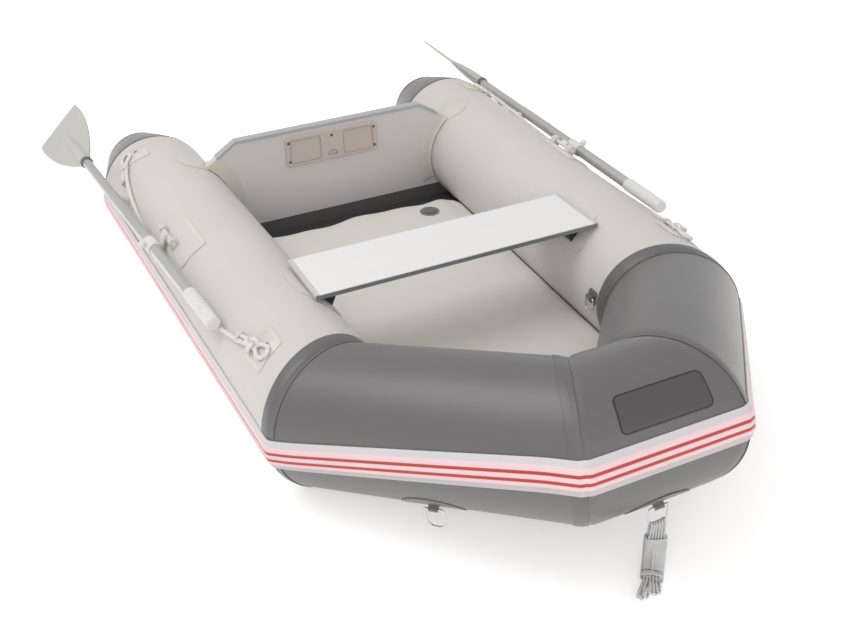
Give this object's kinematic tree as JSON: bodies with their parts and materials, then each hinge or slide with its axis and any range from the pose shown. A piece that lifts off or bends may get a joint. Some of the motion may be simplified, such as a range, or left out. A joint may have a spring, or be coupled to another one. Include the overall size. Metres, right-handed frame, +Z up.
{
  "type": "inflatable dinghy",
  "caption": "Inflatable rowing dinghy: mitred air tubes, air floor, hard transom with outboard pads, aluminium thwart, swivelling oars and towing rings.",
  "frame": {"origin": "on the hull centreline near mid length, at the level of the ground that the side tubes rest on", "axes": "+Z up, -Y towards the bow, +Y towards the transom and stern cones, +X towards the right-hand tube seen from astern looking forward being -X"},
  "size_m": [1.6084, 2.556, 0.4491],
  "materials": {
    "light_fabric": "satin",
    "dark_fabric": "satin",
    "bottom_fabric": "satin",
    "strake": "satin",
    "floor_fabric": "matte",
    "patch": "matte",
    "transom_panel": "satin",
    "trim": "satin",
    "beige_plastic": "matte",
    "white_plastic": "satin",
    "black_plastic": "matte",
    "grey_plastic": "satin",
    "blade_plastic": "satin",
    "aluminium": "satin",
    "steel": "polished",
    "rope": "matte"
  },
  "bodies": {
    "hull": {"air_floor": "floor_fabric", "bow_tube_front": "dark_fabric", "bow_tube_left": "dark_fabric", "bow_tube_right": "dark_fabric", "chamber_baffles": "light_fabric", "floor_valve_body": "grey_plastic", "grab_rope_left": "rope", "grab_rope_right": "rope", "hull_bottom": "bottom_fabric", "motor_pad_inner": "beige_plastic", "motor_pad_outer": "beige_plastic", "motor_pad_screws": "steel", "oar_cradles": "patch", "oarlock_bases": "patch", "rope_pads_bow": "patch", "rope_pads_stern": "patch", "rub_strake": "strake", "side_tube_left": "light_fabric", "side_tube_right": "light_fabric", "stern_cone_left": "dark_fabric", "stern_cone_right": "dark_fabric", "thwart_board": "aluminium", "thwart_end_caps": "beige_plastic", "thwart_patches": "patch", "thwart_supports": "black_plastic", "tow_ring_patches": "dark_fabric", "transom_board": "transom_panel", "transom_flanges": "patch", "transom_sill": "bottom_fabric", "transom_trim": "trim", "tube_valve_bodies": "grey_plastic", "weld_bands": "dark_fabric"},
    "floor_valve_cap": {"floor_valve_cap": "grey_plastic"},
    "inner_ring": {"inner_ring": "steel"},
    "oar_left": {"oar_blade_left": "blade_plastic", "oar_collar_left": "white_plastic", "oar_ferrule_left": "grey_plastic", "oar_grip_left": "white_plastic", "oar_handle_tube_left": "aluminium", "oar_tail_tube_left": "aluminium"},
    "oar_right": {"oar_blade_right": "blade_plastic", "oar_collar_right": "white_plastic", "oar_ferrule_right": "grey_plastic", "oar_grip_right": "white_plastic", "oar_handle_tube_right": "aluminium", "oar_tail_tube_right": "aluminium"},
    "oar_button_left": {"oar_button_left": "steel"},
    "oar_button_right": {"oar_button_right": "steel"},
    "oarlock_left": {"oarlock_knob_left": "white_plastic", "oarlock_tee_left": "white_plastic"},
    "oarlock_right": {"oarlock_knob_right": "white_plastic", "oarlock_tee_right": "white_plastic"},
    "tow_ring_left": {"tow_ring_left": "steel"},
    "tow_ring_nose": {"tow_ring_nose": "steel", "tow_rope_hank": "rope"},
    "tow_ring_right": {"tow_ring_right": "steel"},
    "tube_valve_cap_bow": {"tube_valve_cap_bow": "grey_plastic"},
    "tube_valve_cap_left": {"tube_valve_cap_left": "grey_plastic"},
    "tube_valve_cap_right": {"tube_valve_cap_right": "grey_plastic"}
  },
  "joints": [
    {"name": "oarlock_tilt_right", "type": "hinge", "parent": "hull", "child": "oarlock_right", "pos_m": [0.61854, 0.28266, 0.2944], "axis": [-0.035, -0.9994, 0], "range_deg": [0, 45]},
    {"name": "oar_sweep_right", "type": "hinge", "parent": "oarlock_right", "child": "oar_right", "pos_m": [0.66413, 0.28106, 0.27552], "axis": [-0.9116, 0.0452, -0.4085], "range_deg": [0, 115]},
    {"name": "oar_button_press_right", "type": "slide", "parent": "oar_right", "child": "oar_button_right", "axis": [-0.9116, 0.0452, -0.4085], "range_m": [0, 0.003], "stiffness_N_per_m": 600, "springref_m": -0.001},
    {"name": "tow_ring_swing_right", "type": "hinge", "parent": "hull", "child": "tow_ring_right", "pos_m": [0.36575, -0.82653, 0.10056], "axis": [0.6063, 0.7713, -0.1937], "range_deg": [-60, 40]},
    {"name": "oarlock_tilt_left", "type": "hinge", "parent": "hull", "child": "oarlock_left", "pos_m": [-0.61854, 0.28266, 0.2944], "axis": [-0.035, 0.9994, 0], "range_deg": [0, 45]},
    {"name": "oar_sweep_left", "type": "hinge", "parent": "oarlock_left", "child": "oar_left", "pos_m": [-0.66413, 0.28106, 0.27552], "axis": [-0.9116, -0.0452, 0.4085], "range_deg": [0, 115]},
    {"name": "oar_button_press_left", "type": "slide", "parent": "oar_left", "child": "oar_button_left", "axis": [0.9116, 0.0452, -0.4085], "range_m": [0, 0.003], "stiffness_N_per_m": 600, "springref_m": -0.001},
    {"name": "tow_ring_swing_left", "type": "hinge", "parent": "hull", "child": "tow_ring_left", "pos_m": [-0.36575, -0.82653, 0.10056], "axis": [0.6063, -0.7713, 0.1937], "range_deg": [-60, 40]},
    {"name": "tow_ring_swing_nose", "type": "hinge", "parent": "hull", "child": "tow_ring_nose", "pos_m": [0.01, -1.08699, 0.16165], "axis": [1, 0, 0], "range_deg": [-60, 30]},
    {"name": "inner_ring_swing", "type": "hinge", "parent": "hull", "child": "inner_ring", "pos_m": [0.29788, -0.37893, 0.19036], "axis": [0.035, 0.9994, 0], "range_deg": [0, 80]},
    {"name": "valve_cap_turn_right", "type": "hinge", "parent": "hull", "child": "tube_valve_cap_right", "pos_m": [0.35826, 0.79039, 0.22818], "axis": [-0.9266, 0.0325, 0.3746], "range_deg": [0, 270]},
    {"name": "valve_cap_turn_left", "type": "hinge", "parent": "hull", "child": "tube_valve_cap_left", "pos_m": [-0.35826, 0.79039, 0.22818], "axis": [0.9266, 0.0325, 0.3746], "range_deg": [0, 270]},
    {"name": "valve_cap_turn_bow", "type": "hinge", "parent": "hull", "child": "tube_valve_cap_bow", "pos_m": [-0.16608, -0.62437, 0.26565], "axis": [0.7284, 0.6363, 0.2539], "range_deg": [0, 270]},
    {"name": "floor_valve_cap_turn", "type": "hinge", "parent": "hull", "child": "floor_valve_cap", "pos_m": [0.24, 0.455, 0.082], "axis": [0, 0, 1], "range_deg": [0, 270]}
  ]
}
